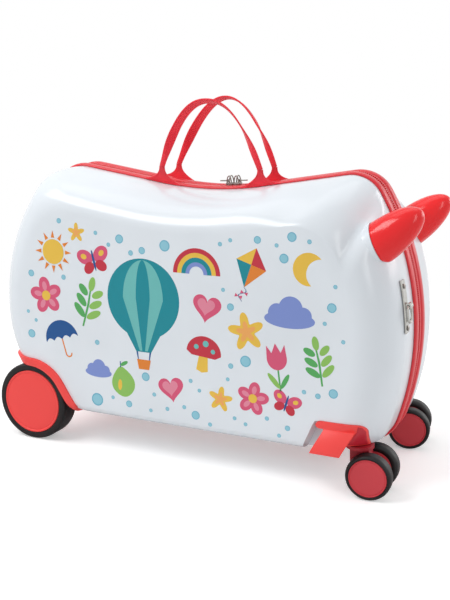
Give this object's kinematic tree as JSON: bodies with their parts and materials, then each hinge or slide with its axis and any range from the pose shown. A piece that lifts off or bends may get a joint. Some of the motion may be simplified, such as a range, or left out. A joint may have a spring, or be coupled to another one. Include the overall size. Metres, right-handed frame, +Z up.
{
  "type": "ride-on suitcase",
  "caption": "Hard clamshell cabin case that a child rides: zip round the middle, webbing handles, horn grips, fixed rear wheels, swivel front casters and a tow ring.",
  "frame": {"origin": "on the floor under the middle of the case", "axes": "+X towards the horns and the swivel casters (front), +Y towards the rider's left, +Z up"},
  "size_m": [0.5064, 0.227, 0.4061],
  "materials": {
    "shell_white": "glossy white shell with a printed pattern outside",
    "trim_red": "smooth red piping",
    "zip_red": "woven zip tape",
    "webbing_red": "woven webbing",
    "horn_red": "glossy red",
    "wheel_red": "satin coral red",
    "tyre_black": "matt black",
    "chrome": "bright chrome",
    "steel": "plain steel",
    "lining_grey": "woven grey lining"
  },
  "bodies": {
    "right_half": {"right_shell": "shell_white", "right_lining": "lining_grey", "right_rim_bead": "trim_red", "right_zip_half": "zip_red", "right_hinge_leaf": "zip_red", "right_rear_housing": "wheel_red", "right_rear_axle": "steel", "right_front_housing": "wheel_red", "right_king_pin": "steel", "right_horn": "horn_red", "right_horn_screw": "steel", "right_handle_tab_rear": "webbing_red", "right_handle_tab_front": "webbing_red", "right_ring_plate": "chrome", "right_upper_rivet": "chrome", "right_lower_rivet": "chrome"},
    "left_half": {"left_shell": "shell_white", "left_lining": "lining_grey", "left_rim_bead": "trim_red", "left_zip_half": "zip_red", "left_hinge_leaf": "zip_red", "left_rear_housing": "wheel_red", "left_rear_axle": "steel", "left_front_housing": "wheel_red", "left_king_pin": "steel", "left_horn": "horn_red", "left_horn_screw": "steel", "left_handle_tab_rear": "webbing_red", "left_handle_tab_front": "webbing_red"},
    "right_rear_wheel": {"right_rear_tyre": "tyre_black", "right_rear_hub": "wheel_red"},
    "right_caster": {"right_fork": "wheel_red", "right_caster_axle": "steel"},
    "right_outer_wheel": {"right_outer_tyre": "tyre_black", "right_outer_hub": "wheel_red"},
    "right_inner_wheel": {"right_inner_tyre": "tyre_black", "right_inner_hub": "wheel_red"},
    "right_carry_handle": {"right_handle": "webbing_red"},
    "left_rear_wheel": {"left_rear_tyre": "tyre_black", "left_rear_hub": "wheel_red"},
    "left_caster": {"left_fork": "wheel_red", "left_caster_axle": "steel"},
    "left_outer_wheel": {"left_outer_tyre": "tyre_black", "left_outer_hub": "wheel_red"},
    "left_inner_wheel": {"left_inner_tyre": "tyre_black", "left_inner_hub": "wheel_red"},
    "left_carry_handle": {"left_handle": "webbing_red"},
    "tow_ring": {"right_tow_ring": "chrome"},
    "rear_zip_slider": {"rear_slider": "chrome"},
    "rear_zip_pull": {"rear_pull": "chrome"},
    "front_zip_slider": {"front_slider": "chrome"},
    "front_zip_pull": {"front_pull": "chrome"}
  },
  "joints": [
    {"name": "case_opening", "type": "hinge", "parent": "right_half", "child": "left_half", "pos_m": [0, 0, 0.0326], "axis": [-1, 0, 0], "range_deg": [0, 95]},
    {"name": "right_rear_wheel_spin", "type": "hinge", "parent": "right_half", "child": "right_rear_wheel", "pos_m": [-0.2011, -0.0845, 0.0465], "axis": [0, 1, 0], "continuous": true},
    {"name": "right_caster_swivel", "type": "hinge", "parent": "right_half", "child": "right_caster", "pos_m": [0.2003, -0.0776, 0.049], "axis": [0, 0, 1], "continuous": true},
    {"name": "right_outer_wheel_spin", "type": "hinge", "parent": "right_caster", "child": "right_outer_wheel", "pos_m": [0.21479, -0.07697, 0.0243], "axis": [0.0436, -0.999, 0], "continuous": true},
    {"name": "right_inner_wheel_spin", "type": "hinge", "parent": "right_caster", "child": "right_inner_wheel", "pos_m": [0.21479, -0.07697, 0.0243], "axis": [0.0436, -0.999, 0], "continuous": true},
    {"name": "right_handle_fold", "type": "hinge", "parent": "right_half", "child": "right_carry_handle", "pos_m": [0.0001, -0.021, 0.32698], "axis": [1, 0, 0], "range_deg": [-11, 85]},
    {"name": "left_rear_wheel_spin", "type": "hinge", "parent": "left_half", "child": "left_rear_wheel", "pos_m": [-0.2011, 0.0845, 0.0465], "axis": [0, 1, 0], "continuous": true},
    {"name": "left_caster_swivel", "type": "hinge", "parent": "left_half", "child": "left_caster", "pos_m": [0.2003, 0.0776, 0.049], "axis": [0, 0, 1], "continuous": true},
    {"name": "left_outer_wheel_spin", "type": "hinge", "parent": "left_caster", "child": "left_outer_wheel", "pos_m": [0.21459, 0.08007, 0.0243], "axis": [-0.1702, 0.9854, 0], "continuous": true},
    {"name": "left_inner_wheel_spin", "type": "hinge", "parent": "left_caster", "child": "left_inner_wheel", "pos_m": [0.21459, 0.08007, 0.0243], "axis": [-0.1702, 0.9854, 0], "continuous": true},
    {"name": "left_handle_fold", "type": "hinge", "parent": "left_half", "child": "left_carry_handle", "pos_m": [0.0001, 0.021, 0.32698], "axis": [-1, 0, 0], "range_deg": [-11, 85]},
    {"name": "tow_ring_swing", "type": "hinge", "parent": "right_half", "child": "tow_ring", "pos_m": [0.23922, -0.0512, 0.1975], "axis": [0, -1, 0], "range_deg": [0, 150]},
    {"name": "rear_slider_travel", "type": "hinge", "parent": "right_half", "child": "rear_zip_slider", "pos_m": [-0.0024, 0, 0.7025], "axis": [0, 1, 0], "range_deg": [0, 7]},
    {"name": "front_slider_travel", "type": "hinge", "parent": "right_half", "child": "front_zip_slider", "pos_m": [-0.0024, 0, 0.7025], "axis": [0, -1, 0], "range_deg": [0, 4.5]},
    {"name": "rear_pull_flip", "type": "hinge", "parent": "rear_zip_slider", "child": "rear_zip_pull", "pos_m": [0.0131, 0, 0.3108], "axis": [0, 1, 0], "range_deg": [0, 120]},
    {"name": "front_pull_flip", "type": "hinge", "parent": "front_zip_slider", "child": "front_zip_pull", "pos_m": [0.02718, 0, 0.31161], "axis": [0, -1, 0], "range_deg": [0, 120]}
  ]
}
